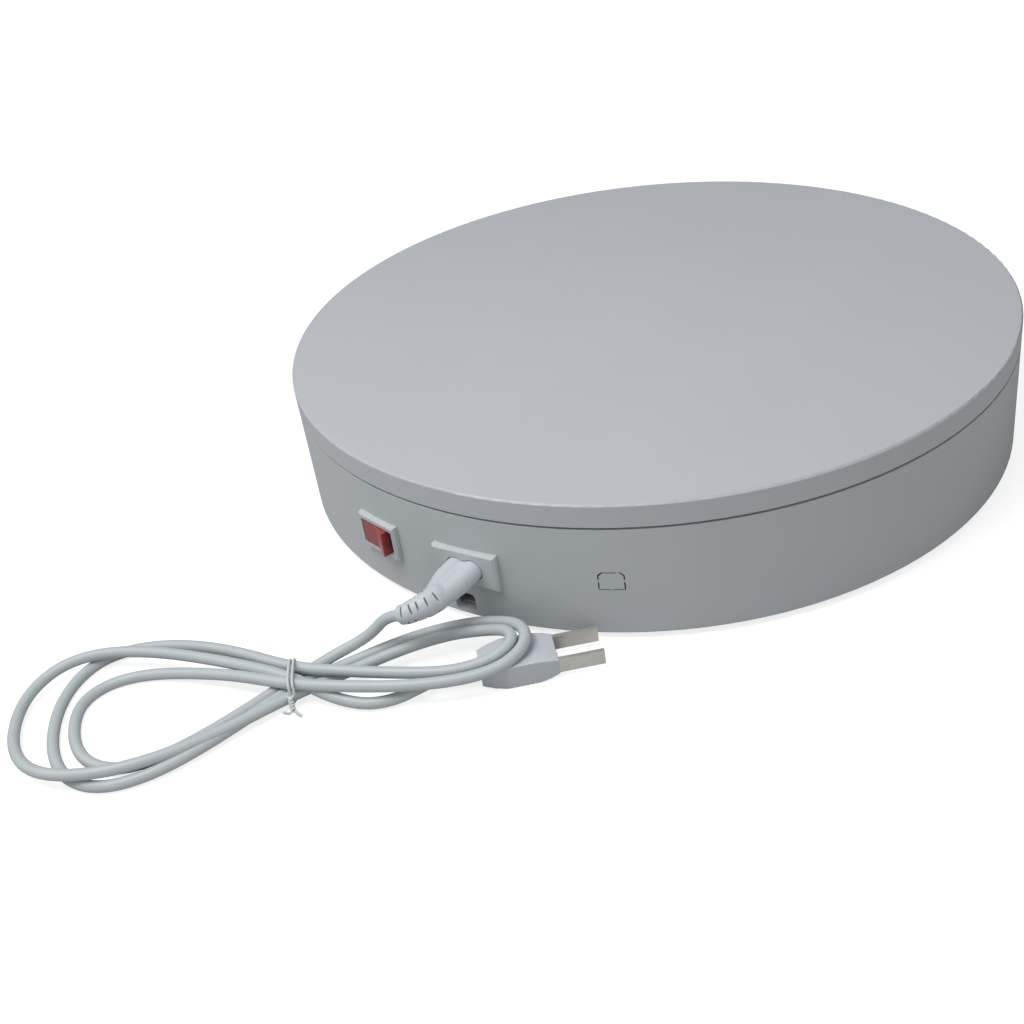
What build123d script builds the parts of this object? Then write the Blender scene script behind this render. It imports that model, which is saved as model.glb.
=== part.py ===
from build123d import *
import os
from math import cos, degrees, pi, radians, sin, tan

# Sizes of the drum and the platter, in millimetres, origin on the axis at the floor
drum_radius = 150.0
foot_height = 2.0
floor_thickness = 2.6
wall_thickness = 2.6
wall_top = 46.5
bottom_bevel = 1.2
seam_gap = 1.0
platter_height = 9.1
platter_plate = 3.0
skirt_thickness = 2.8
top_rounding = 0.8

# Clearances
press_clearance = 0.02
running_clearance = 0.05
seat_clearance = 0.1
free_clearance = 0.3

# Platter underside
rib_count = 24
rib_thickness = 2.0
rib_height = 4.1
ring_radii = (60.0, 90.0)
hub_seat_radius = 26.0
track_radius = 118.0
track_width = 12.0
track_thickness = 2.4
track_rim_thickness = 2.0
track_rim_drop = 1.0

# Rollers, their axles, brackets and posts
roller_count = 6
roller_radius = 7.0
roller_width = 8.4
roller_bevel = 1.0
axle_radius = 1.5
axle_head_radius = 2.4
axle_head_length = 0.8
bracket_sheet = 1.5
bracket_length = 26.0
bracket_cheek_length = 13.0
bracket_lip = 4.2
bracket_screw_place = 10.0
post_length = 28.0
post_width = 16.0
post_wall = 2.4
post_top = 28.0

# Screws
screw_radius = 1.5
screw_head_radius = 2.6
screw_head_height = 1.5
screw_hole_clearance = 0.2
screw_depth = 8.0

# Geared motor and drive
motor_radius = 25.0
motor_height = 15.0
motor_offset = 10.0
motor_top = 21.0
motor_bevel = 1.0
motor_block_length = 12.0
motor_block_depth = 6.0
motor_block_height = 8.0
gear_plate_thickness = 1.5
ear_pitch = 58.0
ear_radius = 4.5
ear_boss_radius = 3.7
shaft_boss_radius = 6.0
shaft_boss_height = 2.5
shaft_radius = 3.5
shaft_flat = 2.5
hub_flange_radius = 24.0
hub_flange_thickness = 4.0
hub_tube_radius = 9.0
hub_gap = 1.0
hub_bore_depth = 16.0
hub_screw_count = 3
hub_screw_circle = 17.0
hub_screw_depth = 3.0

# Feet and floor details
foot_count = 6
foot_circle = 132.0
foot_radius = 7.0
foot_stud_radius = 2.4
floor_rib_count = 12
floor_rib_height = 6.0
floor_rib_start = 44.0
vent_count = 5
vent_length = 34.0
vent_width = 3.0
vent_pitch = 7.0

# Mains inlet in the wall
inlet_height = 25.4
flange_width = 26.7
flange_height = 14.8
flange_proud = 2.0
flange_seat_depth = 1.0
flange_bevel = 0.8
inlet_body_width = 20.0
inlet_body_height = 12.6
inlet_body_depth = 22.0
lobe_radius = 4.3
lobe_spacing = 3.4
neck_half_height = 3.6
cavity_depth = 16.0
pin_radius = 1.2
pin_spacing = 4.3
pin_reach = 11.0
tab_length = 6.0
tab_width = 2.8
tab_thickness = 0.8

# Rocker switch in the wall
switch_azimuth = -106.3
switch_height = 25.1
bezel_width = 21.0
bezel_height = 15.0
bezel_seat_depth = 0.6
bezel_bevel = 0.7
switch_body_width = 19.0
switch_body_height = 13.0
switch_body_depth = 19.0
rocker_opening_width = 18.0
rocker_opening_height = 10.6
rocker_opening_depth = 13.0
rocker_half_width = 7.7
rocker_height = 10.0
rocker_tilt = 11.0
rocker_axis_depth = 4.0
rocker_pin_radius = 1.0
rocker_pin_length = 1.1
switch_tab_spacing = 5.0
switch_tab_width = 4.8
switch_tab_thickness = 0.8
switch_tab_length = 8.0

# Knock-out and slot in the wall
knockout_azimuth = -69.3
knockout_height = 25.3
knockout_width = 9.6
knockout_length = 7.6
knockout_corner = 1.3
knockout_cut = 0.5
knockout_bridge = 0.8
slot_azimuth = -91.4
slot_bottom = 3.8
slot_height = 8.6
slot_width = 9.0
slot_corner = 2.0

# Cord, its connector and its plug
cord_diameter = 4.2
connector_reach = 21.0
connector_nose_gap = 0.5
contact_wall = 0.45
contact_length = 9.5
relief_start_radius = 4.0
relief_end_radius = 2.8
relief_rib = 0.7
relief_rib_thickness = 1.5
relief_rib_count = 4
relief_end = (-8.5, -180.0, 22.6)
plug_relief_length = 8.0
plug_length = 27.0
plug_width = 17.5
plug_height = 9.5
plug_rear_width = 12.0
plug_rear_height = 7.6
plug_nose_width = 14.5
plug_nose_height = 6.4
plug_corner = 2.2
blade_spacing = 12.7
blade_width = 6.3
blade_thickness = 1.5
blade_length = 16.0
blade_root = 6.0
tie_radius = 0.6
tie_corner = 2.4

# The hank's own frame: its waist stands at this point, its long axis at this angle
hank_x = -39.0
hank_y = -209.0
hank_angle = 34.0
waist_lift = 1.5
layer_step = 4.8
low_layer = cord_diameter / 2 + 0.05
high_layer = low_layer + layer_step
outer_step = 7.9
inner_step = 2.6

# Heights that follow from the sizes above
floor_top = foot_height + floor_thickness
platter_bottom = wall_top + seam_gap
platter_top = platter_bottom + platter_height
plate_bottom = platter_top - platter_plate
rib_bottom = plate_bottom - rib_height
track_bottom = rib_bottom - track_thickness
roller_axis = track_bottom - free_clearance - roller_radius
cheek_inside = roller_width / 2 + free_clearance
cheek_outside = cheek_inside + bracket_sheet
bracket_top = roller_axis + bracket_lip
gear_plate_top = motor_top + gear_plate_thickness
shaft_boss_top = gear_plate_top + shaft_boss_height
hub_flange_bottom = rib_bottom - hub_flange_thickness
hub_tube_bottom = shaft_boss_top + hub_gap
flange_face = -(drum_radius + flange_proud)
flange_seat = -(drum_radius - flange_seat_depth)
bezel_seat = -(drum_radius - bezel_seat_depth)


def turned(shape, azimuth):
    """A shape made on the wall at the front, turned to its azimuth."""
    return Rot(0, 0, azimuth + 90) * shape


def ring_of(shape, count, start=0.0):
    """Copies of a shape evenly round the axis."""
    return [Rot(0, 0, start + 360 * i / count) * shape for i in range(count)]


def outward(sketch, inner, outer, height):
    """A sketch drawn as seen from the front, extruded outwards from one depth to another."""
    face = Plane(origin=(0, inner, height), x_dir=(1, 0, 0), z_dir=(0, -1, 0))
    return extrude(face * sketch, inner - outer)


def post(radius, bottom, top, x=0.0, y=0.0):
    """An upright cylinder."""
    return Pos(x, y, bottom) * Cylinder(radius, top - bottom, align=(Align.CENTER, Align.CENTER, Align.MIN))


def block(x_size, y_size, bottom, top, x=0.0, y=0.0):
    """An upright block."""
    return Pos(x, y, bottom) * Box(x_size, y_size, top - bottom, align=(Align.CENTER, Align.CENTER, Align.MIN))


def revolved(points):
    """A solid of revolution about the drum's axis."""
    return revolve(Plane.XZ * make_face(Polyline(*points, close=True)), Axis.Z)


def ring(inner, outer, bottom, top):
    """A plain ring about the drum's axis."""
    return post(outer, bottom, top) - post(inner, bottom, top)


def save(name, shape):
    """Writes one node."""
    solids = shape.solids() if hasattr(shape, "solids") else [s for part in shape for s in part.solids()]
    export_step(Compound(children=solids) if len(solids) > 1 else solids[0], "parts/" + name + ".step")


def tube(route, radius):
    """A round tube along lines and arcs that meet smoothly."""
    parts = []
    for edge in route.edges():
        start = edge @ 0
        section = Plane(origin=start, z_dir=edge % 0) * Circle(radius)
        if edge.geom_type == GeomType.LINE:
            parts.append(extrude(section, edge.length))
        else:
            middle = edge.arc_center
            turn_axis = Axis(middle, (start - middle).cross(edge % 0))
            parts.append(revolve(section, turn_axis, degrees(edge.length / edge.radius)))
    return Part() + parts


def figure_eight(radius):
    """The two-lobed section of the inlet and its connector."""
    neck = neck_half_height - (lobe_radius - radius)
    lobes = Pos(-lobe_spacing, 0) * Circle(radius) + Pos(lobe_spacing, 0) * Circle(radius)
    return lobes + Rectangle(2 * lobe_spacing, 2 * neck)


# Tray: floor and wall turned in one piece
tray = revolved([
    (0, foot_height),
    (drum_radius, foot_height),
    (drum_radius, wall_top),
    (drum_radius - wall_thickness, wall_top),
    (drum_radius - wall_thickness, floor_top),
    (0, floor_top),
])
tray = chamfer(tray.edges().filter_by(GeomType.CIRCLE).group_by(Axis.Z)[0], bottom_bevel)

# Floor ribs, roller posts and motor bosses
rib_end = drum_radius - wall_thickness + seat_clearance
floor_rib = block(
    rib_end - floor_rib_start, rib_thickness, floor_top, floor_top + floor_rib_height,
    x=(rib_end + floor_rib_start) / 2,
)
tray += ring_of(floor_rib, floor_rib_count, 15.0)
tray += ring(floor_rib_start, floor_rib_start + rib_thickness, floor_top, floor_top + floor_rib_height)
roller_post = block(post_width, post_length, floor_top, post_top, x=track_radius)
roller_post -= block(
    post_width - 2 * post_wall, post_length - 2 * post_wall, floor_top, post_top - post_wall, x=track_radius
)
for side in (-1, 1):
    boss_height = post_top - screw_depth - post_wall
    roller_post += post(
        screw_radius + post_wall, boss_height, post_top, track_radius, side * bracket_screw_place
    )
    roller_post -= post(
        screw_radius + press_clearance, post_top - screw_depth, post_top,
        track_radius, side * bracket_screw_place,
    )
tray += ring_of(roller_post, roller_count)
for side in (-1, 1):
    tray += post(ear_boss_radius, floor_top, motor_top, side * ear_pitch / 2, motor_offset)
    tray -= post(
        screw_radius + press_clearance, motor_top - screw_depth, motor_top, side * ear_pitch / 2, motor_offset
    )

# Openings in the floor: foot studs and vents under the motor
foot_start = 30.0
for place in ring_of(post(foot_stud_radius + press_clearance, foot_height, floor_top, foot_circle),
                     foot_count, foot_start):
    tray -= place
for i in range(vent_count):
    vent_y = motor_offset + (i - (vent_count - 1) / 2) * vent_pitch
    tray -= Pos(0, vent_y, foot_height) * extrude(SlotOverall(vent_length, vent_width), floor_thickness)

# Openings in the wall: inlet and switch with their flat seats
inlet_hole = Rectangle(inlet_body_width + 2 * seat_clearance, inlet_body_height + 2 * seat_clearance)
wall_inside = -(drum_radius - 2 * wall_thickness)
tray -= outward(inlet_hole, wall_inside, flange_face, inlet_height)
flange_pocket = Rectangle(flange_width + 2 * seat_clearance, flange_height + 2 * seat_clearance)
tray -= outward(flange_pocket, flange_seat, flange_face, inlet_height)
switch_hole = Rectangle(switch_body_width + 2 * seat_clearance, switch_body_height + 2 * seat_clearance)
tray -= turned(outward(switch_hole, wall_inside, flange_face, switch_height), switch_azimuth)
bezel_pocket = Rectangle(bezel_width + 2 * seat_clearance, bezel_height + 2 * seat_clearance)
tray -= turned(outward(bezel_pocket, bezel_seat, flange_face, switch_height), switch_azimuth)


def knockout_outline(grown):
    """The knock-out's outline with its two cut top corners."""
    half_width = knockout_width / 2 + grown
    half_length = knockout_length / 2 + grown
    return make_face(Polyline(
        (-half_width, -half_length),
        (half_width, -half_length),
        (half_width, half_length - knockout_corner),
        (half_width - knockout_corner, half_length),
        (knockout_corner - half_width, half_length),
        (-half_width, half_length - knockout_corner),
        close=True,
    ))


# Knock-out: a thin cut through the wall, held by four bridges
knockout = knockout_outline(0.0) - knockout_outline(-knockout_cut)
bridge_side = (knockout_width - knockout_cut) / 2
bridge_end = (knockout_length - knockout_cut) / 2
for bridge_x, bridge_y in ((-bridge_side, 0), (bridge_side, 0), (bridge_side / 2, bridge_end), (0, -bridge_end)):
    knockout -= Pos(bridge_x, bridge_y) * Rectangle(knockout_bridge, knockout_bridge)
tray -= turned(outward(knockout, wall_inside, flange_face, knockout_height), knockout_azimuth)

# Slot below the inlet, round at its top
slot = RectangleRounded(slot_width, slot_height, slot_corner)
tray -= turned(outward(slot, wall_inside, flange_face, slot_bottom + slot_height / 2), slot_azimuth)
save("base_tray", tray)

# Feet: a soft pad with a stud in the floor
foot = post(foot_radius, 0, foot_height, foot_circle)
foot = chamfer(foot.edges().group_by(Axis.Z)[0], foot_height / 4)
foot += post(foot_stud_radius, foot_height, floor_top, foot_circle)
save("rubber_feet", ring_of(foot, foot_count, foot_start))

# Motor can with its terminal block
motor_face = motor_offset - motor_radius - motor_block_depth / 2
motor_block_middle = motor_top - motor_height / 2
can = post(motor_radius, motor_top - motor_height, motor_top, 0, motor_offset)
can = chamfer(can.edges().group_by(Axis.Z)[0], motor_bevel)
can += block(
    motor_block_length, motor_block_depth, motor_block_middle - motor_block_height / 2,
    motor_block_middle + motor_block_height / 2, 0, motor_face + motor_block_depth / 2,
)
save("motor_can", can)

# Gear plate with two ears and the shaft's boss
plate = post(motor_radius, motor_top, gear_plate_top, 0, motor_offset)
ear_bar = Pos(0, motor_offset) * SlotOverall(ear_pitch + 2 * ear_radius, 2 * ear_radius)
plate += Pos(0, 0, motor_top) * extrude(ear_bar, gear_plate_thickness)
plate += post(shaft_boss_radius, gear_plate_top, shaft_boss_top)
plate -= post(shaft_radius + running_clearance, motor_top, shaft_boss_top)
motor_screws = []
for side in (-1, 1):
    ear_x = side * ear_pitch / 2
    plate -= post(screw_radius + screw_hole_clearance, motor_top, gear_plate_top, ear_x, motor_offset)
    screw = post(screw_head_radius, gear_plate_top, gear_plate_top + screw_head_height, ear_x, motor_offset)
    screw += post(screw_radius, motor_top - screw_depth + 1, gear_plate_top, ear_x, motor_offset)
    motor_screws.append(screw)
save("motor_gear_plate", plate)
save("motor_screws", motor_screws)

# Roller brackets: a folded sheet with two cheeks, its screws and the axles
bracket_foot_top = post_top + bracket_sheet
bracket = block(2 * cheek_outside, bracket_length, post_top, bracket_foot_top, track_radius)
axle_holes = Pos(track_radius, 0, roller_axis) * Rot(0, 90, 0) * Cylinder(
    axle_radius + press_clearance, 4 * cheek_outside
)
for side in (-1, 1):
    cheek_middle = track_radius + side * (cheek_inside + cheek_outside) / 2
    cheek = block(bracket_sheet, bracket_cheek_length, bracket_foot_top, bracket_top, cheek_middle)
    cheek = fillet(cheek.edges().filter_by(Axis.X).group_by(Axis.Z)[-1], bracket_lip * 0.9)
    bracket += cheek
    bracket -= post(
        screw_radius + screw_hole_clearance, post_top, bracket_foot_top,
        track_radius, side * bracket_screw_place,
    )
bracket -= axle_holes
save("roller_brackets", ring_of(bracket, roller_count))
bracket_screw = post(
    screw_head_radius, bracket_foot_top, bracket_foot_top + screw_head_height, track_radius, bracket_screw_place
)
bracket_screw += post(
    screw_radius, post_top - screw_depth + 1, bracket_foot_top, track_radius, bracket_screw_place
)
bracket_screws = ring_of(bracket_screw, roller_count)
bracket_screws += ring_of(mirror(bracket_screw, Plane.XZ), roller_count)
save("bracket_screws", bracket_screws)
axle = Cylinder(axle_radius, 2 * cheek_outside)
for side in (-1, 1):
    axle += Pos(0, 0, side * (cheek_outside + axle_head_length / 2)) * Cylinder(
        axle_head_radius, axle_head_length
    )
axle = Pos(track_radius, 0, roller_axis) * Rot(0, 90, 0) * axle
save("roller_axles", ring_of(axle, roller_count))

# Rollers: a wheel with bevelled edges
roller = Cylinder(roller_radius, roller_width)
roller = chamfer(roller.edges(), roller_bevel)
roller -= Cylinder(axle_radius + running_clearance, roller_width)
roller = Pos(track_radius, 0, roller_axis) * Rot(0, 90, 0) * roller
for i, placed in enumerate(ring_of(roller, roller_count)):
    save("roller_" + str(i + 1), placed)

# Platter: plate and skirt turned in one piece, then the ribs and rings below
platter = revolved([
    (0, plate_bottom),
    (drum_radius - skirt_thickness, plate_bottom),
    (drum_radius - skirt_thickness, platter_bottom),
    (drum_radius, platter_bottom),
    (drum_radius, platter_top),
    (0, platter_top),
])
platter = fillet(platter.edges().filter_by(GeomType.CIRCLE).group_by(Axis.Z)[-1], top_rounding)
rib_outer = drum_radius - skirt_thickness + seat_clearance
rib_inner = hub_seat_radius - seat_clearance
platter_rib = block(
    rib_outer - rib_inner, rib_thickness, rib_bottom, plate_bottom, x=(rib_outer + rib_inner) / 2
)
platter += ring_of(platter_rib, rib_count)
for radius in ring_radii:
    platter += ring(radius, radius + rib_thickness, rib_bottom, plate_bottom)
track_inner = track_radius - track_width / 2
track_outer = track_radius + track_width / 2
for radius in (track_inner - track_rim_thickness - seat_clearance, track_outer + seat_clearance):
    platter += ring(radius, radius + track_rim_thickness, rib_bottom - track_rim_drop, plate_bottom)
platter += ring(hub_tube_radius, hub_seat_radius, rib_bottom, plate_bottom)
hub_screw_hole = post(
    screw_radius + press_clearance, rib_bottom, rib_bottom + hub_screw_depth + press_clearance, hub_screw_circle
)
for hole in ring_of(hub_screw_hole, hub_screw_count):
    platter -= hole
save("platter", platter)
save("track_ring", ring(track_inner, track_outer, track_bottom, rib_bottom))

# Drive hub, its screws and the shaft
shaft_profile = Circle(shaft_radius) - Pos(shaft_flat + shaft_radius, 0) * Rectangle(
    2 * shaft_radius, 4 * shaft_radius
)
bore_radius = shaft_radius + press_clearance
bore_profile = Circle(bore_radius) - Pos(shaft_flat + press_clearance + bore_radius, 0) * Rectangle(
    2 * bore_radius, 4 * bore_radius
)
hub = post(hub_flange_radius, hub_flange_bottom, rib_bottom) + post(
    hub_tube_radius, hub_tube_bottom, hub_flange_bottom
)
hub -= Pos(0, 0, hub_tube_bottom) * extrude(bore_profile, hub_bore_depth)
hub_screws = []
for place in ring_of(post(screw_radius + screw_hole_clearance, hub_flange_bottom, rib_bottom, hub_screw_circle),
                     hub_screw_count):
    hub -= place
hub_screw = post(screw_head_radius, hub_flange_bottom - screw_head_height, hub_flange_bottom, hub_screw_circle)
hub_screw += post(screw_radius, hub_flange_bottom, rib_bottom + hub_screw_depth, hub_screw_circle)
save("drive_hub", hub)
save("hub_screws", ring_of(hub_screw, hub_screw_count))
shaft = post(shaft_radius, motor_top + press_clearance, hub_tube_bottom)
shaft += Pos(0, 0, hub_tube_bottom) * extrude(shaft_profile, hub_bore_depth - free_clearance)
save("motor_shaft", shaft)

# Mains inlet: bevelled flange, body, two-lobed cavity and pins
cavity_end = -(drum_radius - cavity_depth)
body_end = -(drum_radius - inlet_body_depth)
flange = outward(Rectangle(flange_width, flange_height), flange_seat, flange_face, inlet_height)
flange = chamfer(flange.faces().sort_by(Axis.Y)[0].edges(), flange_bevel)
inlet = flange + outward(Rectangle(inlet_body_width, inlet_body_height), body_end, flange_seat, inlet_height)
inlet -= outward(figure_eight(lobe_radius), cavity_end, flange_face, inlet_height)
pins = []
for side in (-1, 1):
    pin_x = side * pin_spacing
    pin_hole = Pos(pin_x, 0) * Circle(pin_radius + press_clearance)
    inlet -= outward(pin_hole, body_end, cavity_end, inlet_height)
    pin = outward(Pos(pin_x, 0) * Circle(pin_radius), body_end, cavity_end - pin_reach, inlet_height)
    pin = chamfer(pin.edges().group_by(Axis.Y)[0], pin_radius * 0.4)
    pin += outward(Pos(pin_x, 0) * Rectangle(tab_thickness, tab_width), body_end + tab_length, body_end, inlet_height)
    pins.append(pin)
save("inlet_housing", inlet)
save("inlet_pins", pins)

# Rocker switch: bezel, body, terminals and rocker
switch_face = flange_face
switch_end = -(drum_radius - switch_body_depth)
bezel = outward(Rectangle(bezel_width, bezel_height), bezel_seat, switch_face, switch_height)
bezel = chamfer(bezel.faces().sort_by(Axis.Y)[0].edges(), bezel_bevel)
housing = bezel + outward(Rectangle(switch_body_width, switch_body_height), switch_end, bezel_seat, switch_height)
rocker_opening = Rectangle(rocker_opening_width, rocker_opening_height)
housing -= outward(rocker_opening, switch_face + rocker_opening_depth, switch_face, switch_height)
rocker_axis = switch_face + rocker_axis_depth
rocker_pin_hole = Pos(0, rocker_axis, switch_height) * Cylinder(
    rocker_pin_radius + running_clearance, switch_body_height
)
housing -= rocker_pin_hole
save("switch_housing", turned(housing, switch_azimuth))
terminals = []
for side in (-1, 1):
    tab = Pos(side * switch_tab_spacing, 0) * Rectangle(switch_tab_thickness, switch_tab_width)
    terminals.append(turned(outward(tab, switch_end + switch_tab_length, switch_end, switch_height), switch_azimuth))
save("switch_terminals", terminals)
tip_rise = rocker_half_width * tan(radians(rocker_tilt))
rocker_outline = make_face(Polyline(
    (0, 0),
    (rocker_half_width, -tip_rise),
    (rocker_half_width - 0.9, rocker_axis_depth * 0.6),
    (rocker_half_width * 0.45, rocker_axis_depth * 1.9),
    (-rocker_half_width * 0.45, rocker_axis_depth * 1.9),
    (0.9 - rocker_half_width, rocker_axis_depth * 0.6),
    (-rocker_half_width, -tip_rise),
    close=True,
))
rocker = Pos(0, -rocker_axis_depth, -rocker_height / 2) * extrude(rocker_outline, rocker_height)
rocker = fillet(rocker.edges().filter_by(Axis.Z).group_by(Axis.Y)[0], 0.5)
rocker += Cylinder(rocker_pin_radius, rocker_height + 2 * rocker_pin_length)
rocker = Pos(0, rocker_axis, switch_height) * Rot(0, 0, -rocker_tilt) * rocker
save("rocker", turned(rocker, switch_azimuth))

# Inner wires: from the inlet to the switch and from both to the motor
wire_radius = 0.9
tab_end = body_end + tab_length
switch_tab_end = switch_end + switch_tab_length


def at_switch(x, y):
    """A place in the switch's own frame as a place in the drum's frame."""
    angle = radians(switch_azimuth + 90)
    return (x * cos(angle) - y * sin(angle), x * sin(angle) + y * cos(angle), switch_height)


def wire(points, bend):
    """A round wire along straight runs with round corners."""
    return tube(FilletPolyline(*points, radius=bend), wire_radius)


motor_low = motor_block_middle
save("live_wire", wire([
    (-pin_spacing, tab_end, inlet_height),
    (-pin_spacing, tab_end + 9, inlet_height),
    (-pin_spacing - 8, tab_end + 15, inlet_height + 4),
    at_switch(switch_tab_spacing, switch_tab_end + 9),
    at_switch(switch_tab_spacing, switch_tab_end),
], 3.0))
save("neutral_wire", wire([
    (pin_spacing, tab_end, inlet_height),
    (pin_spacing, tab_end + 14, inlet_height),
    (motor_block_length / 4, motor_face - 25, motor_low),
    (motor_block_length / 4, motor_face, motor_low),
], 8.0))
save("motor_wire", wire([
    at_switch(-switch_tab_spacing, switch_tab_end),
    at_switch(-switch_tab_spacing, switch_tab_end + 14),
    (-motor_block_length / 4, motor_face - 25, motor_low),
    (-motor_block_length / 4, motor_face, motor_low),
], 8.0))

# Hank frame and its places
hank_frame = Plane(origin=(hank_x, hank_y, 0), x_dir=(cos(radians(hank_angle)), sin(radians(hank_angle)), 0))


def in_hank(x, y, z):
    """A place in the hank's frame as a place in the drum's frame."""
    return hank_frame.from_local_coords(Vector(x, y, z))


def heading(x, y, z=0.0):
    """A direction in the hank's frame as a direction in the drum's frame."""
    return (in_hank(x, y, z) - in_hank(0, 0, 0)).normalized()


def two_arcs(start, start_way, end, end_way, handle):
    """Two arcs that meet smoothly, from one place and heading to another."""
    reach = start - end + end_way * handle
    other = (reach.dot(reach) - handle * handle) / (2 * (handle - reach.dot(start_way)))
    corner = start + start_way * other
    end_corner = end - end_way * handle
    middle = corner + (end_corner - corner) * (other / (other + handle))
    return [
        Edge.make_tangent_arc(start, start_way, middle),
        Edge.make_tangent_arc(middle, end_corner - corner, end),
    ]


def loop_arcs(start, start_way, end, end_way, handle, from_lobe):
    """The arcs of a quarter loop, the handle always at the lobe's end."""
    if not from_lobe:
        return two_arcs(start, start_way, end, end_way, handle)
    back = two_arcs(end, end_way * -1, start, start_way * -1, handle)
    return [Edge.make_tangent_arc(arc @ 1, (arc % 1) * -1, arc @ 0) for arc in reversed(back)]


# Hank: places, headings and handles along the cord, spiralling in above and out below
low_waist = low_layer + waist_lift
high_waist = high_layer + waist_lift
plug_layer = plug_height / 2
plug_way = heading(0.996, 0.087)
hank_start = in_hank(6.0, 9.2, high_waist)
hank_start_way = heading(-0.99, -0.14)
plug_start = in_hank(57.6, -6.5, plug_layer)
stations = [
    (hank_start + hank_start_way * cord_diameter, hank_start_way, 0.0, False),
    (in_hank(-101.0, -2.0, high_layer), heading(0, -1), 62.0, False),
    (in_hank(0, -outer_step, high_waist), heading(1, 0), 62.0, True),
    (in_hank(83.5, -3.0, plug_height + high_layer - 2.0), heading(0, 1), 26.0, False),
    (in_hank(0, inner_step, high_waist), heading(-1, 0), 26.0, True),
    (in_hank(-77.0, -3.0, high_layer), heading(0, -1), 29.0, False),
    (in_hank(0, -inner_step, low_waist), heading(1, 0), 31.0, True),
    (in_hank(42.0, -0.5, low_layer), heading(0, 1), 12.0, False),
    (in_hank(0, outer_step, low_waist), heading(-1, 0), 12.0, True),
    (in_hank(-87.0, -2.0, low_layer), heading(0, -1), 60.0, False),
    (in_hank(0, -outer_step, low_waist), heading(1, 0), 60.0, True),
    (in_hank(31.0, -14.6, low_layer), heading(1, 0), 9.0, False),
    (plug_start - plug_way * cord_diameter, plug_way, 5.0, False),
]
hank_edges = [Edge.make_line(hank_start, stations[0][0])]
for (start, start_way, _, _), (end, end_way, handle, from_lobe) in zip(stations, stations[1:]):
    hank_edges += loop_arcs(start, start_way, end, end_way, handle, from_lobe)
hank_edges.append(Edge.make_line(stations[-1][0], plug_start))
hank = tube(Wire(hank_edges), cord_diameter / 2)
save("cord_hank", hank)

# Least gap of the hank to itself, measured on points along its middle
points = []
travelled = 0.0
for edge in hank_edges:
    steps = max(2, round(edge.length / 2.0))
    for i in range(steps):
        points.append((travelled + edge.length * i / steps, edge @ (i / steps)))
    travelled += edge.length
least = min(
    (b[1] - a[1]).length for k, a in enumerate(points) for b in points[k + 1:] if b[0] - a[0] > 3 * cord_diameter
)
print("hank length", round(travelled, 1), "least gap to itself", round(least - cord_diameter, 3))
print("hank volume over section times length", round(hank.volume / (pi * cord_diameter ** 2 / 4 * travelled), 4))

# Connector: two-lobed body, contacts and a ribbed relief that bends down to the side
nose_end = cavity_end - connector_nose_gap
relief_root = -(drum_radius + connector_reach)
connector = outward(figure_eight(lobe_radius - free_clearance), nose_end, relief_root, inlet_height)
connector = chamfer(connector.faces().sort_by(Axis.Y)[0].edges(), 0.8)
contacts = []
contact_inner = pin_radius + running_clearance
contact_outer = contact_inner + contact_wall
for side in (-1, 1):
    contact_x = side * pin_spacing
    hole = Pos(contact_x, 0) * Circle(contact_outer + press_clearance)
    pin_way = Pos(contact_x, 0) * Circle(contact_inner + press_clearance)
    sleeve = Pos(contact_x, 0) * (Circle(contact_outer) - Circle(contact_inner))
    connector -= outward(hole, nose_end, nose_end - contact_length, inlet_height)
    connector -= outward(pin_way, nose_end, nose_end - contact_length - 2, inlet_height)
    contacts.append(outward(sleeve, nose_end - press_clearance, nose_end - contact_length, inlet_height))
save("connector_contacts", contacts)


def relief(route, root_radius, end_radius):
    """A tapering sleeve with ribs along a route."""
    sections = []
    for i in range(5):
        part = i / 4
        radius = root_radius + (end_radius - root_radius) * part
        sections.append(Plane(origin=route @ part, x_dir=(0, 0, 1), z_dir=route % part) * Circle(radius))
    sleeve = loft(sections)
    for i in range(relief_rib_count):
        part = (i + 0.5) / relief_rib_count
        radius = root_radius + (end_radius - root_radius) * part + relief_rib
        sleeve += Plane(origin=route @ part, z_dir=route % part) * Cylinder(radius, relief_rib_thickness)
    return sleeve


relief_route = Edge.make_tangent_arc((0, relief_root, inlet_height), (0, -1, 0), relief_end)
connector += relief(relief_route, relief_start_radius, relief_end_radius)
save("lead_connector", connector)

# Free stretch of the cord from the connector to the hank
lead_start = relief_route @ 1
lead_way = relief_route % 1
lead_points = [
    lead_start,
    lead_start + lead_way * 7.6,
    in_hank(29.2, 12.2, 12.9),
    in_hank(22.0, 12.6, 9.2),
    hank_start - hank_start_way * 7.0,
    hank_start,
]
lead_radii = []
for before, corner, after in zip(lead_points, lead_points[1:], lead_points[2:]):
    run_in = corner - before
    run_out = after - corner
    turn = radians(run_in.get_angle(run_out))
    lead_radii.append(0.45 * min(run_in.length, run_out.length) / tan(turn / 2))
lead_route = FilletPolyline(*lead_points, radius=lead_radii)
lead = tube(lead_route, cord_diameter / 2)
save("power_cord", lead)
print("lead points", [tuple(round(c, 1) for c in point) for point in lead_points])
print("lead radii", [round(radius, 1) for radius in lead_radii])
print("lead length", round(lead_route.length, 1))
print("lead volume over section times length",
      round(lead.volume / (pi * cord_diameter ** 2 / 4 * lead_route.length), 4))

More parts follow.
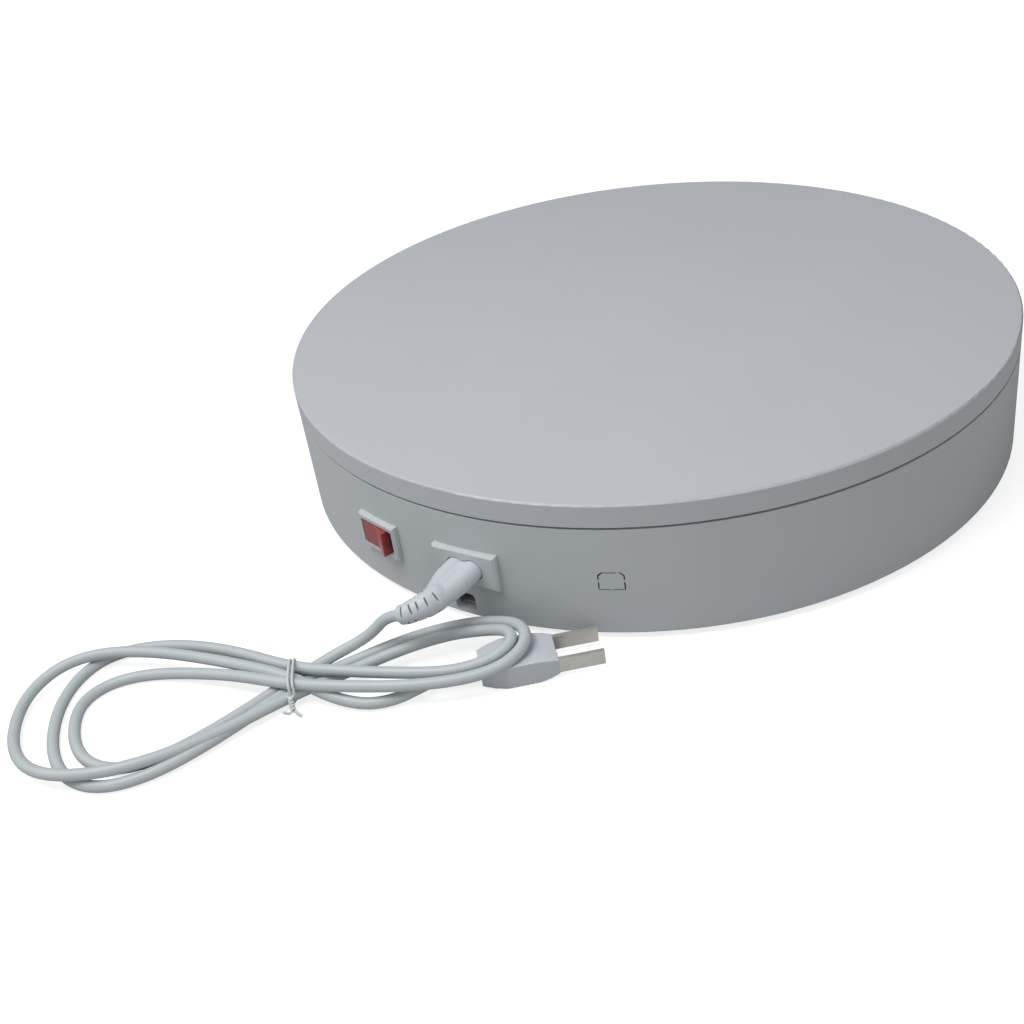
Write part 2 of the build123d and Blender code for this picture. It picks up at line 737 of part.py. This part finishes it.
# Twist tie: two turns round the waist and its twisted ends
tie_low = low_waist - cord_diameter / 2 - seat_clearance - tie_radius
tie_high = high_waist + cord_diameter / 2 + seat_clearance + tie_radius
tie_right = outer_step + cord_diameter / 2 + seat_clearance + tie_radius
tie_left = outer_step + 1.6 + cord_diameter / 2 + seat_clearance + tie_radius
tie_height = tie_high - tie_low
tie_across = tie_left + tie_right
tie_outline = RectangleRounded(tie_across + 2 * tie_radius, tie_height + 2 * tie_radius, tie_corner + tie_radius)
tie_outline -= RectangleRounded(tie_across - 2 * tie_radius, tie_height - 2 * tie_radius, tie_corner - tie_radius)
tie = None
for turn_x in (-1.2, 1.2):
    loop_plane = Plane(
        origin=in_hank(turn_x, (tie_left - tie_right) / 2, (tie_low + tie_high) / 2),
        x_dir=heading(0, 1), z_dir=heading(1, 0),
    )
    loop = extrude(loop_plane * tie_outline, tie_radius, both=True)
    tie = loop if tie is None else tie + loop
knot = in_hank(0, -tie_right - tie_radius, tie_high - tie_corner)
tie += Plane(origin=knot, z_dir=heading(1, 0)) * Cylinder(1.6 * tie_radius, 3.4)
for tail_end in (in_hank(3.5, -tie_right - 5.5, 1.2), in_hank(-2.6, -tie_right - 4.0, 3.2)):
    tail_way = (tail_end - knot).normalized()
    tail = Cylinder(tie_radius, (tail_end - knot).length, align=(Align.CENTER, Align.CENTER, Align.MIN))
    tie += Plane(origin=knot, z_dir=tail_way) * tail
save("twist_tie", tie)

# Plug: ribbed relief, tapering body and two blades
plug_plane = Plane(origin=plug_start, x_dir=plug_way, z_dir=(0, 0, 1))


def plug_section(place, width, height):
    """One rounded section of the plug across its length."""
    frame = Plane(origin=(place, 0, 0), x_dir=(0, 1, 0), z_dir=(1, 0, 0))
    return frame * RectangleRounded(width, height, plug_corner)


plug_front = plug_relief_length + plug_length
plug_relief_route = Edge.make_line((0, 0, 0), (plug_relief_length, 0, 0))
plug = relief(plug_relief_route, relief_end_radius, relief_start_radius - relief_rib)
plug += loft([
    plug_section(plug_relief_length, plug_rear_width, plug_rear_height),
    plug_section(plug_relief_length + plug_length * 0.3, plug_width, plug_height),
    plug_section(plug_relief_length + plug_length * 0.72, plug_width, plug_height),
    plug_section(plug_front, plug_nose_width + 2, plug_nose_height),
], ruled=True)
blades = []
for side in (-1, 1):
    blade = Pos(plug_front + (blade_length - blade_root) / 2, side * blade_spacing / 2, 0) * Box(
        blade_length + blade_root, blade_thickness, blade_width * 0.9
    )
    plug -= blade
    blades.append(plug_plane.location * blade)
save("plug_body", plug_plane.location * plug)
save("plug_blades", blades)
print("nodes written", len(os.listdir("parts")))
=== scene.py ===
# %% [markdown]
# # A motorised display turntable
# The object is a flat grey platter on a drum-shaped base, with a white mains lead
# that lies in front of it as a hank. The imported CAD model gives every piece its
# size and place, so it is loaded first and never moved. What follows gives each
# piece its real finish, and models the soft and finely shaped pieces.

# %% Load the imported model
import bpy
import math
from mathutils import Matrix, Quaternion, Vector


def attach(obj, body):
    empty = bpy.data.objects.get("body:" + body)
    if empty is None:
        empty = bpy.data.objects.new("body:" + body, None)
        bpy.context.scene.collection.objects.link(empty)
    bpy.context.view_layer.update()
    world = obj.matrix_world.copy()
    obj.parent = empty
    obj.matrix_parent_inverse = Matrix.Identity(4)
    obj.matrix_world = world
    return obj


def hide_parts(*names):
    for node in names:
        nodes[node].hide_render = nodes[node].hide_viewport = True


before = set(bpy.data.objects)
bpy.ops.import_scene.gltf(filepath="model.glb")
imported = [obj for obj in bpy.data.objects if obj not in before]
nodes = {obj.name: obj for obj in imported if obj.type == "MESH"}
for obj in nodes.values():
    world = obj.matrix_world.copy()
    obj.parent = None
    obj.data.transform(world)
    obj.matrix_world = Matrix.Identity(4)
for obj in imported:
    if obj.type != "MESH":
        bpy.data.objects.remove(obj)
bpy.ops.object.select_all(action="DESELECT")
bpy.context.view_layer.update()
MM = 0.001

# %% [markdown]
# ## Camera
# The picture was taken from a little above, with the camera turned slightly on its
# own axis. Its place, aim and roll were worked out from the outlines of the platter
# and the drum, which are circles of a known size. A look-at direction gives a level
# camera, and the roll is then added about its own axis.

# %% Camera
camera_data = bpy.data.cameras.new("camera")
camera = bpy.data.objects.new("camera", camera_data)
bpy.context.scene.collection.objects.link(camera)
camera_place = Vector((243.2, -459.3, 297.4)) * MM
camera_aim = Vector((1.9, -120.2, 30.0)) * MM
camera_roll = math.radians(-8.91)
aim = (camera_aim - camera_place).to_track_quat("-Z", "Y")
camera.location = camera_place
camera.rotation_mode = "QUATERNION"
camera.rotation_quaternion = aim @ Quaternion((0, 0, 1), camera_roll)
camera_data.sensor_width = 36.0
camera_data.lens = 46.99
bpy.context.scene.camera = camera
bpy.context.scene.view_settings.view_transform = "Standard"
print("camera", round((camera_aim - camera_place).length, 3), "m from its aim")

# %% [markdown]
# ## Nodes and colours
# Colours are picked as sRGB hex values, as on a colour chart, and a shader wants
# them linear, so one function turns them. Another adds one shader node with its
# settings and its links, which keeps every material below short enough to read.


# %% Helpers for materials
def linear(hex_colour):
    """An sRGB hex colour as linear red, green, blue and alpha."""
    channels = [int(hex_colour[i:i + 2], 16) / 255 for i in (1, 3, 5)]
    return [c / 12.92 if c <= 0.04045 else ((c + 0.055) / 1.055) ** 2.4 for c in channels] + [1.0]


def add_node(material, kind, inputs=None, **settings):
    """Adds one node; an input is a value, or an output socket to link from."""
    tree = material.node_tree
    node = tree.nodes.new(kind)
    for name, value in settings.items():
        setattr(node, name, value)
    for name, value in (inputs or {}).items():
        if isinstance(value, bpy.types.NodeSocket):
            tree.links.new(value, node.inputs[name])
        else:
            node.inputs[name].default_value = value
    return node


def new_material(name):
    """A material with its shader, and the coordinates of the piece itself."""
    material = bpy.data.materials.new(name)
    material.use_nodes = True
    shader = material.node_tree.nodes["Principled BSDF"]
    place = add_node(material, "ShaderNodeTexCoord").outputs["Object"]
    return material, shader, place


def link(material, out_socket, in_socket):
    material.node_tree.links.new(out_socket, in_socket)


def per_metre(size_mm):
    """Texture scale at which one cell is about this many millimetres."""
    return 1.0 / (size_mm * MM)


def two_tones(material, shader, colour, other_colour, factor):
    """Mixes two close colours into the shader's base colour."""
    mix_factor, first_colour, second_colour, mixed = 0, 6, 7, 2
    tint = add_node(material, "ShaderNodeMix", data_type="RGBA")
    tint.inputs[first_colour].default_value = linear(colour)
    tint.inputs[second_colour].default_value = linear(other_colour)
    link(material, factor, tint.inputs[mix_factor])
    link(material, tint.outputs[mixed], shader.inputs["Base Color"])


def rough_between(material, shader, factor, least, most):
    """Lets the roughness vary between two values."""
    spread = add_node(
        material, "ShaderNodeMapRange", {"Value": factor, "To Min": least, "To Max": most}
    )
    link(material, spread.outputs["Result"], shader.inputs["Roughness"])


# %% [markdown]
# ## Moulded plastic
# The base and the platter are moulded ABS. The mould was sparked or etched, so the
# skin is finely matt: soft highlights, a grain of a few tenths of a millimetre and
# a very slight unevenness over some centimetres, where the plastic shrank as it
# cooled. Grain goes to bump and roughness, the unevenness to the colour.


# %% Moulded plastic materials
def moulded_plastic(
    name, colour, deep_colour, roughness, grain_mm, grain_mm_high, cloud_mm=45.0, coat=0.0
):
    """Moulded ABS, PVC or nylon: fine grain in the bump, faint clouds in the colour."""
    material, shader, place = new_material(name)
    clouds = add_node(
        material, "ShaderNodeTexNoise",
        {"Vector": place, "Scale": per_metre(cloud_mm), "Detail": 3.0},
    )
    two_tones(material, shader, colour, deep_colour, clouds.outputs["Fac"])
    grain = add_node(
        material, "ShaderNodeTexNoise",
        {"Vector": place, "Scale": per_metre(grain_mm), "Detail": 2.0},
    )
    rough_between(material, shader, grain.outputs["Fac"], roughness - 0.05, roughness + 0.07)
    bump = add_node(
        material, "ShaderNodeBump",
        {"Height": grain.outputs["Fac"], "Strength": 0.25, "Distance": grain_mm_high * MM},
    )
    link(material, bump.outputs["Normal"], shader.inputs["Normal"])
    shader.inputs["IOR"].default_value = 1.53
    shader.inputs["Coat Weight"].default_value = coat
    return material


base_skin = moulded_plastic("moulded_abs_base", "#C3C8CA", "#BCC1C4", 0.50, 0.5, 0.05)
platter_skin = moulded_plastic("moulded_abs_platter", "#C2C5C9", "#BDC0C5", 0.42, 0.6, 0.03)
trim_skin = moulded_plastic("moulded_nylon_trim", "#C6CBCC", "#BFC5C7", 0.38, 0.4, 0.03)
cord_skin = moulded_plastic("extruded_pvc_cord", "#C3CACC", "#BBC2C5", 0.40, 0.8, 0.04, cloud_mm=20.0)
plug_skin = moulded_plastic("moulded_pvc_plug", "#CDD2D7", "#C5CAD0", 0.42, 0.5, 0.04, cloud_mm=15.0)
tie_skin = moulded_plastic("coated_tie_wire", "#D6DADD", "#CFD3D7", 0.45, 0.3, 0.02)
red_skin = moulded_plastic("moulded_red_polycarbonate", "#A63A3A", "#9A3434", 0.30, 0.8, 0.01, coat=0.2)
inner_skin = moulded_plastic("moulded_acetal", "#DADAD4", "#D0D0C8", 0.35, 0.5, 0.02)
rubber_skin = moulded_plastic("moulded_rubber_foot", "#2B2B2B", "#242424", 0.75, 0.4, 0.06)
brown_skin = moulded_plastic("pvc_sleeve_brown", "#5A3A26", "#4E3220", 0.45, 0.5, 0.02)
blue_skin = moulded_plastic("pvc_sleeve_blue", "#2F5C9A", "#2A538C", 0.45, 0.5, 0.02)
print("plastics made:", base_skin.name, "to", blue_skin.name)

# %% [markdown]
# ## Plated metal
# The motor's can, its plate, the brackets and the screws are steel with a thin
# zinc plating, and the contacts are brass plated with nickel. Both were rolled or
# drawn, so the roughness runs in fine streaks, with small cloudy spangles of zinc.


# %% Plated metal materials
def plated_metal(name, colour, spangle_colour, roughness, streak_mm):
    """Plated sheet or wire: cloudy spangles in the colour, streaks in the roughness."""
    material, shader, place = new_material(name)
    spangle = add_node(material, "ShaderNodeTexVoronoi", {"Vector": place, "Scale": per_metre(3.0)})
    two_tones(material, shader, colour, spangle_colour, spangle.outputs["Distance"])
    drawn_out = 8.0
    stretch = add_node(
        material, "ShaderNodeMapping", {"Vector": place, "Scale": (1.0, drawn_out, drawn_out)}
    )
    streaks = add_node(
        material, "ShaderNodeTexNoise",
        {"Vector": stretch.outputs["Vector"], "Scale": per_metre(streak_mm) / drawn_out, "Detail": 4.0},
    )
    rough_between(material, shader, streaks.outputs["Fac"], roughness - 0.08, roughness + 0.1)
    shader.inputs["Metallic"].default_value = 1.0
    return material


zinc = plated_metal("zinc_plated_steel", "#B9BCBD", "#A9ADAF", 0.38, 0.4)
screw_steel = plated_metal("nickel_plated_steel", "#ACACAE", "#9C9C9F", 0.30, 0.2)
contact_brass = plated_metal("nickel_plated_brass", "#EEECE6", "#E6E3DB", 0.30, 0.2)
print("metals made:", zinc.name, screw_steel.name, contact_brass.name)

# %% [markdown]
# ## Finishes of the CAD pieces
# Most of the CAD nodes have the right shape already and only need their finish.
# Each one gets its material in its own slot, and the mesh isn't touched.

# %% Give the CAD pieces their materials
finishes = {
    base_skin: ["base_tray"],
    platter_skin: ["platter"],
    trim_skin: ["inlet_housing", "switch_housing"],
    rubber_skin: ["rubber_feet"],
    zinc: ["motor_can", "motor_gear_plate", "roller_brackets"],
    screw_steel: ["motor_screws", "bracket_screws", "roller_axles", "hub_screws", "motor_shaft"],
    contact_brass: ["inlet_pins", "switch_terminals", "connector_contacts", "plug_blades"],
    inner_skin: ["track_ring", "drive_hub"] + ["roller_%d" % i for i in range(1, 7)],
    brown_skin: ["live_wire", "motor_wire"],
    blue_skin: ["neutral_wire"],
    red_skin: ["rocker"],
    cord_skin: ["power_cord", "cord_hank"],
    plug_skin: ["lead_connector", "plug_body", "twist_tie"],
}
for material, names in finishes.items():
    for name in names:
        nodes[name].data.materials.clear()
        nodes[name].data.materials.append(material)
print("finished nodes:", sum(len(names) for names in finishes.values()))

# %% [markdown]
# ## The cord
# The lead is a round PVC cord, 4.2 mm thick. It leaves the connector's relief,
# drops to the table and lies there as a figure-eight hank: each pass crosses the
# waist under the tie, so a strand at the back of one lobe is at the front of the
# other. A NURBS curve with a round bevel is the natural tool, because its control
# points work like a real cord's bends: they pull the line and never kink it.

# %% The cord's route
cord_thick = 4.2
hank_x, hank_y, hank_turn = -39.0, -209.0, math.radians(34.0)


def hank_place(along, across, height):
    """A place in the hank's own directions, in millimetres, as a point in metres."""
    x = hank_x + along * math.cos(hank_turn) - across * math.sin(hank_turn)
    y = hank_y + along * math.sin(hank_turn) + across * math.cos(hank_turn)
    return Vector((x, y, height)) * MM


lead_points = [Vector(p) * MM for p in (
    (-8.5, -180.0, 22.6), (-15.7, -180.0, 20.2), (-21.6, -182.6, 12.9),
    (-27.8, -186.3, 8.6), (-33.5, -192.0, 6.2),
)]
low, over, over_plug = 2.15, 6.85, 12.9
odd_waist, even_waist = 3.65, 8.4
plug_x, plug_y, plug_middle = 57.6, -6.5, 4.75


def lobe(reach, front, back, middle, lane_in, lane_out, heights, count=12):
    """One lobe's points: out along its front, round its end and home along its back."""
    quarters = 4
    points = []
    for i in range(count + 1):
        part = i / count
        angle = math.pi * part
        along = reach * math.sin(angle)
        half = front if part < 0.5 else back
        across = -half * math.sin(2 * angle) + middle * math.sin(angle) ** 2
        leaving, coming = max(0.0, 1 - quarters * part), max(0.0, quarters * part - 3)
        across += lane_in * leaving + lane_out * coming
        step = min(quarters - 1, int(part * quarters))
        share = part * quarters - step
        share = share * share * (3 - 2 * share)
        height = heights[step] + (heights[step + 1] - heights[step]) * share
        points.append(hank_place(along, across, height))
    return points


route = list(lead_points)
route += [hank_place(8, 7.6, odd_waist + 1.6)]
route += lobe(-79, 31, 19, 3.0, 4.5, -4.5, (odd_waist, low, low, low, even_waist))
route += lobe(83.5, 15, 17, -1.0, -4.5, 0.0, (even_waist, over + 2, over_plug, over + 1, odd_waist))[1:]
route += lobe(-86.5, 40, 35, 5.0, 0.0, 4.5, (odd_waist, low, low, low, even_waist))[1:]
route += lobe(78.6, 10, 12, -1.0, 4.5, -4.5, (even_waist, over + 2, over_plug, over + 1, odd_waist))[1:]
route += lobe(-101, 38, 28, 7.0, -4.5, 0.0, (odd_waist, over, low + 0.6, over, even_waist))[1:]
route += [
    hank_place(12, -8.6, odd_waist + 0.9), hank_place(25, -14.0, low + 0.4),
    hank_place(36, -13.5, low + 0.4), hank_place(45, -10.3, low + 1.8),
    hank_place(53.4, -6.87, plug_middle), hank_place(plug_x, plug_y, plug_middle),
]
print("route points:", len(route))


# %% The cord as a curve
def round_cord(name, points, thickness_mm, resolution=8):
    """A smooth NURBS curve with a round section."""
    data = bpy.data.curves.new(name, "CURVE")
    data.dimensions = "3D"
    spline = data.splines.new("NURBS")
    spline.points.add(len(points) - 1)
    for spot, point in zip(spline.points, points):
        spot.co = (*point, 1.0)
    spline.order_u = 3
    spline.use_endpoint_u = True
    spline.resolution_u = 6
    data.bevel_depth = thickness_mm / 2 * MM
    data.bevel_resolution = resolution
    data.use_fill_caps = True
    curve = bpy.data.objects.new(name, data)
    bpy.context.scene.collection.objects.link(curve)
    return curve


mains_cord = round_cord("mains_cord", route, cord_thick)
mains_cord.data.materials.append(cord_skin)
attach(mains_cord, "power_lead")
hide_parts("power_cord", "cord_hank")
bent = [(a + b) / 2 for a, b in zip(route, route[1:])]
bent = [route[0]] + bent + [route[-1]]

# %% [markdown]
# ## Moulded PVC pieces
# The connector and the plug are moulded round the cord in soft PVC, so nothing on
# them is sharp: lobes, web and bend relief run into one another. The rough forms
# are laid over each other as rods and blocks, and a fine voxel skin joins them and
# rounds their corners, as the mould does. Slots are cut afterwards, as they stay crisp.


# %% Tools for the moulded pieces
def rod(start, end, start_radius, end_radius):
    """A round rod between two places, in millimetres."""
    start, end = Vector(start) * MM, Vector(end) * MM
    way = end - start
    bpy.ops.object.select_all(action="DESELECT")
    bpy.ops.mesh.primitive_cone_add(
        vertices=48, radius1=start_radius * MM, radius2=end_radius * MM, depth=way.length,
        location=(start + end) / 2, rotation=way.to_track_quat("Z", "Y").to_euler(),
    )
    return bpy.context.object


def slab(middle, size, way=(0, 0, 1), side=(0, 0, 0)):
    """A block in millimetres whose height points along a direction, moved a little to one side."""
    bpy.ops.object.select_all(action="DESELECT")
    place = (Vector(middle) + Vector(side)) * MM
    turn = Vector(way).to_track_quat("Z", "Y").to_euler()
    bpy.ops.mesh.primitive_cube_add(size=1, location=place, rotation=turn)
    block = bpy.context.object
    block.scale = Vector(size) * MM
    return block


def ball(middle, radius):
    """A ball at a place, in millimetres."""
    bpy.ops.object.select_all(action="DESELECT")
    bpy.ops.mesh.primitive_uv_sphere_add(
        segments=32, ring_count=16, radius=radius * MM, location=Vector(middle) * MM
    )
    return bpy.context.object


def joined(name, parts):
    """Several objects as one, with its place in the mesh."""
    bpy.ops.object.select_all(action="DESELECT")
    for part in parts:
        part.select_set(True)
    bpy.context.view_layer.objects.active = parts[0]
    if len(parts) > 1:
        bpy.ops.object.join()
    bpy.ops.object.transform_apply(location=True, rotation=True, scale=True)
    bpy.context.object.name = name
    return bpy.context.object


def finish_with(piece, kind, **settings):
    """Adds one modifier and applies it."""
    bpy.context.view_layer.objects.active = piece
    modifier = piece.modifiers.new(kind.lower(), kind)
    for key, value in settings.items():
        setattr(modifier, key, value)
    bpy.ops.object.modifier_apply(modifier=modifier.name)


def moulded(name, parts, voxel_mm, rounds):
    """One soft skin round overlapping parts."""
    piece = joined(name, parts)
    finish_with(piece, "REMESH", mode="VOXEL", voxel_size=voxel_mm * MM)
    finish_with(piece, "SMOOTH", factor=0.5, iterations=rounds)
    return piece


def cut(piece, cutters):
    """Cuts the cutters out of a piece."""
    tool = joined("cutter", cutters)
    finish_with(piece, "BOOLEAN", operation="DIFFERENCE", object=tool, solver="EXACT")
    bpy.data.objects.remove(tool, do_unlink=True)


def dress(piece, material, body, slot_name, *replaced):
    """Gives a finished piece its material, its body and the node whose place it takes."""
    bpy.ops.object.select_all(action="DESELECT")
    piece.select_set(True)
    bpy.context.view_layer.objects.active = piece
    if piece.type == "MESH":
        bpy.ops.object.shade_smooth_by_angle(angle=math.radians(35))
    piece.data.materials.clear()
    piece.data.materials.append(material)
    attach(piece, body)
    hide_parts(*replaced)


# %% [markdown]
# ## Connector
# The connector is pushed into the inlet, so only its end and its relief show. Two
# lobes run into one neck, and the relief bends down towards the table. Slots in
# turn on either side let the relief bend, and are cut into the finished moulding.

# %% Connector: two lobes that run into a bent relief with staggered slots
inlet_z = 25.4
lobe_apart = 3.4
parts = []
for side in (-1, 1):
    parts.append(rod((side * lobe_apart, -134.6, inlet_z), (side * lobe_apart, -160, inlet_z), 3.95, 3.95))
    parts.append(rod((side * lobe_apart, -160, inlet_z), (side * 0.9, -173, inlet_z), 3.95, 3.7))
parts.append(slab((0, -147.3, inlet_z), (6.8, 25.4, 6.4)))
parts.append(rod((0, -158, inlet_z), (0, -173, inlet_z), 3.6, 4.3))
relief_line = [
    (0, -170.5, 25.4), (-1.2, -174.2, 25.2), (-3.6, -177.3, 24.6),
    (-6.3, -179.4, 23.5), (-9.3, -180.2, 22.4),
]
relief_radii = [4.9, 4.7, 4.3, 3.9, 3.5]
for a, b, start_radius, end_radius in zip(relief_line, relief_line[1:], relief_radii, relief_radii[1:]):
    parts.append(rod(a, b, start_radius, end_radius))
    parts.append(ball(a, start_radius))
connector = moulded("connector_moulding", parts, 0.28, 10)
slots = []
slot_count, first_slot, slot_pitch = 9, 0.55, 0.37
for i in range(slot_count):
    share = first_slot + i * slot_pitch
    step = min(len(relief_line) - 2, int(share))
    a, b = Vector(relief_line[step]), Vector(relief_line[step + 1])
    way = (b - a).normalized()
    middle = a.lerp(b, share - step)
    radius = relief_radii[step] + (relief_radii[step + 1] - relief_radii[step]) * (share - step)
    across = way.cross(Vector((0, 0, 1))).normalized()
    lean = across if i % 2 else -across
    for high in (1, -1):
        side = (lean * 0.75 + Vector((0, 0, high)) * 0.75) * (radius + 1.7)
        slots.append(slab(middle, (6.4, 6.4, 0.7), way, side))
for side in (-1, 1):
    slots.append(rod((side * 4.3, -130, inlet_z), (side * 4.3, -146.6, inlet_z), 1.75, 1.75))
cut(connector, slots)
dress(connector, plug_skin, "power_lead", "white_pvc", "lead_connector")
print("connector faces:", len(connector.data.polygons))

# %% [markdown]
# ## Plug
# The plug lies on the table at the end of the hank. Its body is widest in the
# middle, where it is gripped, and thinner at both ends. Its sections were read off
# the CAD model. It is modelled at the origin along X, then turned and set down.

# %% Plug: a block shaped at its sections, with a ribbed relief
plug_turn = hank_turn + math.atan2(0.087, 0.996)
bpy.ops.object.select_all(action="DESELECT")
bpy.ops.mesh.primitive_cube_add(size=1, location=(21.5 * MM, 0, 0))
body = bpy.context.object
body.scale = Vector((27.0, 17.0, 9.2)) * MM
bpy.ops.object.transform_apply(location=True, rotation=True, scale=True)
bpy.ops.object.mode_set(mode="EDIT")
for place in (12.0, 16.5, 22.0, 27.5, 31.5):
    bpy.ops.mesh.select_all(action="SELECT")
    bpy.ops.mesh.bisect(plane_co=(place * MM, 0, 0), plane_no=(1, 0, 0))
bpy.ops.mesh.select_all(action="DESELECT")
bpy.ops.object.mode_set(mode="OBJECT")
for place, wide, high in ((8.0, 0.66, 0.80), (12.0, 0.86, 0.92), (31.5, 0.97, 0.84), (35.0, 0.90, 0.62)):
    for vertex in body.data.vertices:
        vertex.select = abs(vertex.co.x - place * MM) < 0.1 * MM
    bpy.ops.object.mode_set(mode="EDIT")
    bpy.ops.transform.resize(value=(1, wide, high), center_override=(place * MM, 0, 0))
    bpy.ops.mesh.select_all(action="DESELECT")
    bpy.ops.object.mode_set(mode="OBJECT")
parts = [body, rod((0.2, 0, 0), (10, 0, 0), 2.8, 3.5)]
for i in range(4):
    bpy.ops.object.select_all(action="DESELECT")
    bpy.ops.mesh.primitive_torus_add(
        major_radius=(2.75 + 0.15 * i) * MM, minor_radius=0.62 * MM, major_segments=40, minor_segments=12,
        location=((1.2 + 1.95 * i) * MM, 0, 0), rotation=(0, math.pi / 2, 0),
    )
    parts.append(bpy.context.object)
plug = moulded("plug_moulding", parts, 0.26, 6)
plug.rotation_euler = (0, 0, plug_turn)
plug.location = hank_place(plug_x, plug_y, plug_middle)
plug = joined("plug_moulding", [plug])
dress(plug, plug_skin, "power_lead", "white_pvc", "plug_body")
print("plug faces:", len(plug.data.polygons))

# %% [markdown]
# ## Twist tie
# The tie is a thin wire in a white coating. It is one length: two turns round the
# waist of the hank, and both ends twisted together in front and left to stick out.

# %% Twist tie: one wire
tie_points = []
turns, turn_points = 2, 16
square = 0.62
for i in range(turns * turn_points + 1):
    angle = math.pi + 2 * math.pi * i / turn_points
    across = 8.2 * math.copysign(abs(math.cos(angle)) ** square, math.cos(angle))
    height = 6.15 + 5.35 * math.copysign(abs(math.sin(angle)) ** square, math.sin(angle))
    tie_points.append(hank_place(-1.5 + 3.0 * i / (turns * turn_points), across, height))
twist_start, twist_end = Vector((0.0, -9.6, 6.0)), Vector((0.6, -12.2, 2.6))
twists, twist_radius = 14, 0.62


def twisted(phase):
    """One of the two wires of the twist."""
    points = []
    for i in range(twists + 1):
        middle = twist_start.lerp(twist_end, i / twists)
        angle = phase + 2 * math.pi * i / 7
        along = middle.x + twist_radius * math.cos(angle)
        height = middle.z + twist_radius * math.sin(angle)
        points.append(hank_place(along, middle.y, height))
    return points


first_tail = [hank_place(3.4, -13.6, 1.2), hank_place(2.0, -13.2, 1.8)]
last_tail = [hank_place(-1.2, -13.0, 2.2), hank_place(-2.8, -12.6, 3.2)]
wire = first_tail + twisted(0.0)[::-1] + tie_points + twisted(math.pi) + last_tail
tie = round_cord("tie_wire", wire, 1.0, resolution=3)
dress(tie, tie_skin, "power_lead", "tie_coating", "twist_tie")
print("tie points:", len(wire))

# %% [markdown]
# ## Table and light
# The picture's background is plain white with hardly a shadow. The table is a pale
# matt plane that takes the object's soft shadow, with a little of its own white
# added for the camera alone. A soft sun from the left, a weak one from the right, a
# round panel above the front and an even sky give the light top that darkens towards
# the back, the lighter left side and the greyer front.

# %% Table
bpy.ops.mesh.primitive_plane_add(size=6.0, location=(0, 0, 0))
table = bpy.context.object
table.name = "table"
table_skin, table_shader = new_material("matt_white_card")[:2]
table_shader.inputs["Base Color"].default_value = linear("#BCBCBC")
table_shader.inputs["Roughness"].default_value = 0.9
table_shader.inputs["Specular IOR Level"].default_value = 0.1
seen = add_node(table_skin, "ShaderNodeLightPath").outputs["Is Camera Ray"]
glow = add_node(table_skin, "ShaderNodeEmission", {"Color": (1, 1, 1, 1), "Strength": 0.76})
both = add_node(table_skin, "ShaderNodeAddShader")
link(table_skin, table_shader.outputs[0], both.inputs[0])
link(table_skin, glow.outputs[0], both.inputs[1])
choose = add_node(table_skin, "ShaderNodeMixShader", {"Fac": seen})
link(table_skin, table_shader.outputs[0], choose.inputs[1])
link(table_skin, both.outputs[0], choose.inputs[2])
link(table_skin, choose.outputs[0], table_skin.node_tree.nodes["Material Output"].inputs["Surface"])
table.data.materials.append(table_skin)

# %% Sky and suns
world = bpy.context.scene.world or bpy.data.worlds.new("sky")
bpy.context.scene.world = world
world.use_nodes = True
sky_nodes = world.node_tree.nodes
sky_nodes.clear()
sky_path = sky_nodes.new("ShaderNodeLightPath")
sky_light = sky_nodes.new("ShaderNodeBackground")
sky_white = sky_nodes.new("ShaderNodeBackground")
sky_light.inputs["Color"].default_value = (0.96, 0.98, 1.0, 1.0)
sky_light.inputs["Strength"].default_value = 0.27
sky_white.inputs["Color"].default_value = (1.0, 1.0, 1.0, 1.0)
sky_white.inputs["Strength"].default_value = 1.0
sky_mix = sky_nodes.new("ShaderNodeMixShader")
sky_out = sky_nodes.new("ShaderNodeOutputWorld")
world.node_tree.links.new(sky_path.outputs["Is Camera Ray"], sky_mix.inputs["Fac"])
world.node_tree.links.new(sky_light.outputs[0], sky_mix.inputs[1])
world.node_tree.links.new(sky_white.outputs[0], sky_mix.inputs[2])
world.node_tree.links.new(sky_mix.outputs[0], sky_out.inputs["Surface"])


def soft_sun(name, towards, strength, spread_degrees):
    """A sun that shines from one direction, with soft shadows."""
    data = bpy.data.lights.new(name, "SUN")
    data.energy = strength
    data.angle = math.radians(spread_degrees)
    lamp = bpy.data.objects.new(name, data)
    lamp.rotation_euler = Vector(towards).to_track_quat("Z", "Y").to_euler()
    bpy.context.scene.collection.objects.link(lamp)


soft_sun("sun_left", (-0.75, -0.35, 0.95), 0.85, 50)
bpy.ops.object.light_add(type="AREA", location=(-0.10, -0.35, 0.70))
panel = bpy.context.object
panel.name = "soft_panel"
panel.data.shape = "DISK"
panel.data.size = 0.40
panel.data.energy = 2.5
panel.rotation_euler = Vector((-0.10, -0.27, 0.65)).to_track_quat("Z", "Y").to_euler()
soft_sun("sun_right", (0.80, -0.30, 0.50), 0.42, 60)
